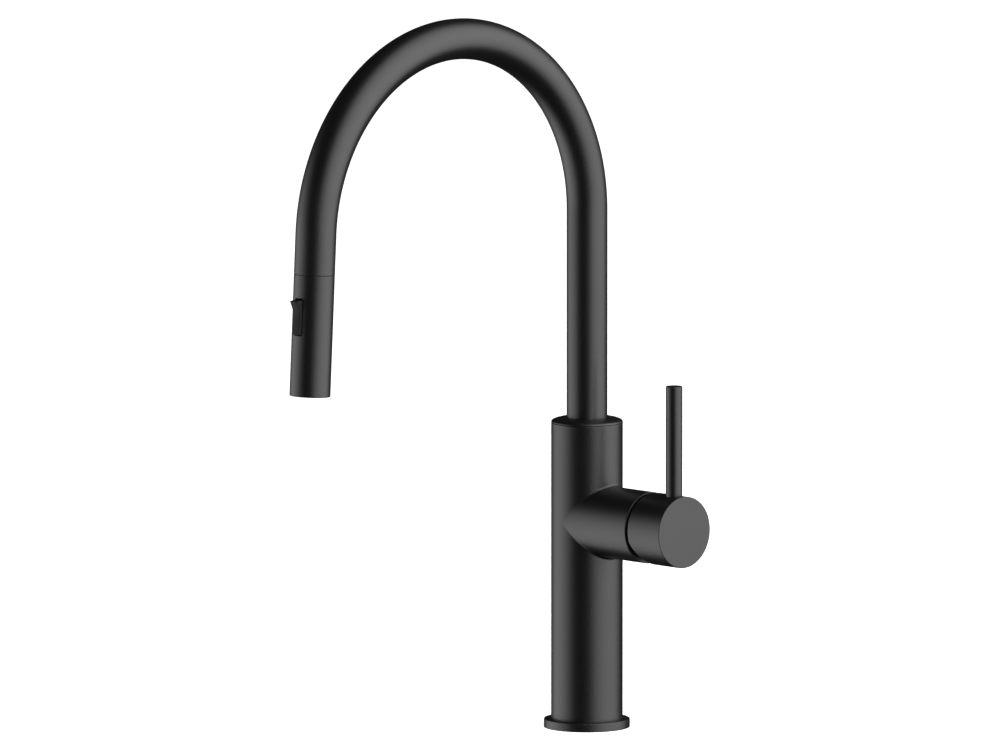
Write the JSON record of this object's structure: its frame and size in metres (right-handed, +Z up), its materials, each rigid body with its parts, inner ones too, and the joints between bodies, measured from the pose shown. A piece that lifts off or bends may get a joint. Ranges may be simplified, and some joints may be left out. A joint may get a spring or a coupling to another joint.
{
  "type": "pull down kitchen faucet",
  "caption": "Matte black single lever kitchen faucet: upright column, side lever on a tilting cap, gooseneck spout and a docked pull down spray head with a rocker.",
  "frame": {"origin": "centre of the base ring's underside, on the worktop's top surface", "axes": "+Z up along the column, the spout reaches towards -Y, the lever is on the +X side"},
  "size_m": [0.1162, 0.2815, 0.5315],
  "materials": {
    "coated_brass": "matte black powder coat",
    "toggle_plastic": "moulded, fine texture",
    "turned_brass": "turned and bright",
    "trim_black": "satin black",
    "copper": "drawn copper",
    "stainless": "turned stainless steel",
    "nickel": "nickel plated",
    "acetal": "moulded acetal",
    "cartridge_plastic": "moulded",
    "spray_plastic": "moulded",
    "ceramic": "lapped alumina ceramic, opaque",
    "rubber": "moulded",
    "silicone": "moulded silicone",
    "hose_braid": "braided nylon sleeve"
  },
  "bodies": {
    "body": {"base_ring": "coated_brass", "deck_gasket": "rubber", "body_shell": "coated_brass", "threaded_shank": "turned_brass", "rubber_washer": "rubber", "steel_washer": "stainless", "lock_nut": "turned_brass", "clamp_screw_front": "stainless", "clamp_screw_back": "stainless", "swivel_sleeve": "turned_brass", "lower_bush": "acetal", "upper_bush": "acetal", "swivel_oring": "rubber", "valve_block": "turned_brass", "cold_inlet_pipe": "copper", "outlet_pipe": "copper", "hot_inlet_pipe": "copper", "cartridge_base": "cartridge_plastic", "cartridge_housing": "cartridge_plastic", "fixed_disc": "ceramic", "retaining_nut": "turned_brass", "trim_ring": "trim_black"},
    "spout": {"spout_tube": "coated_brass", "spout_collar": "coated_brass", "snap_ring": "stainless", "dock_ring": "acetal", "dock_magnet": "nickel", "spray_hose": "hose_braid", "hose_connector": "turned_brass"},
    "hose_end": {"hose_ferrule": "stainless", "swivel_fitting": "turned_brass", "fitting_oring": "rubber"},
    "spray_head": {"head_shell": "coated_brass", "head_core": "spray_plastic", "keeper_ring": "nickel", "check_valve": "spray_plastic", "core_oring": "rubber", "nozzle_mat": "silicone", "spray_face": "spray_plastic", "aerator": "spray_plastic", "toggle_pin": "stainless"},
    "toggle": {"spray_toggle": "toggle_plastic"},
    "diverter": {"diverter_spool": "spray_plastic"},
    "rotor": {"cartridge_rotor": "cartridge_plastic", "stem_pin": "stainless"},
    "lever": {"cartridge_stem": "stainless", "lever_cap": "coated_brass", "lever_pin": "coated_brass", "grub_screw": "stainless"},
    "disc": {"disc_carrier": "cartridge_plastic", "moving_disc": "ceramic"}
  },
  "joints": [
    {"name": "spout_swivel", "type": "hinge", "parent": "body", "child": "spout", "pos_m": [0, 0, 0.1928], "axis": [0, 0, 1], "range_deg": [-180, 180]},
    {"name": "head_pull", "type": "slide", "parent": "spout", "child": "hose_end", "axis": [0, -0.0523, -0.9986], "range_m": [0, 0.2]},
    {"name": "head_spin", "type": "hinge", "parent": "hose_end", "child": "spray_head", "pos_m": [0, -0.23646, 0.30769], "axis": [0, -0.0523, -0.9986], "continuous": true},
    {"name": "toggle_rock", "type": "hinge", "parent": "spray_head", "child": "toggle", "pos_m": [0, -0.24584, 0.28165], "axis": [-1, 0, 0], "range_deg": [0, 12]},
    {"name": "diverter_slide", "type": "slide", "parent": "spray_head", "child": "diverter", "axis": [0, -0.0523, -0.9986], "range_m": [0, 0.00075]},
    {"name": "lever_turn", "type": "hinge", "parent": "body", "child": "rotor", "pos_m": [0.038, 0, 0.1315], "axis": [1, 0, 0], "range_deg": [-50, 50]},
    {"name": "lever_lift", "type": "hinge", "parent": "rotor", "child": "lever", "pos_m": [0.038, 0, 0.1315], "axis": [0, 1, 0], "range_deg": [0, 22]},
    {"name": "disc_slide", "type": "slide", "parent": "rotor", "child": "disc", "axis": [0, 0, 1], "range_m": [0, 0.0031]}
  ],
  "couplings": [
    {"joint": "toggle_rock", "follows": "diverter_slide", "rad_per_m": 277},
    {"joint": "disc_slide", "follows": "lever_lift", "m_per_rad": 0.008}
  ]
}
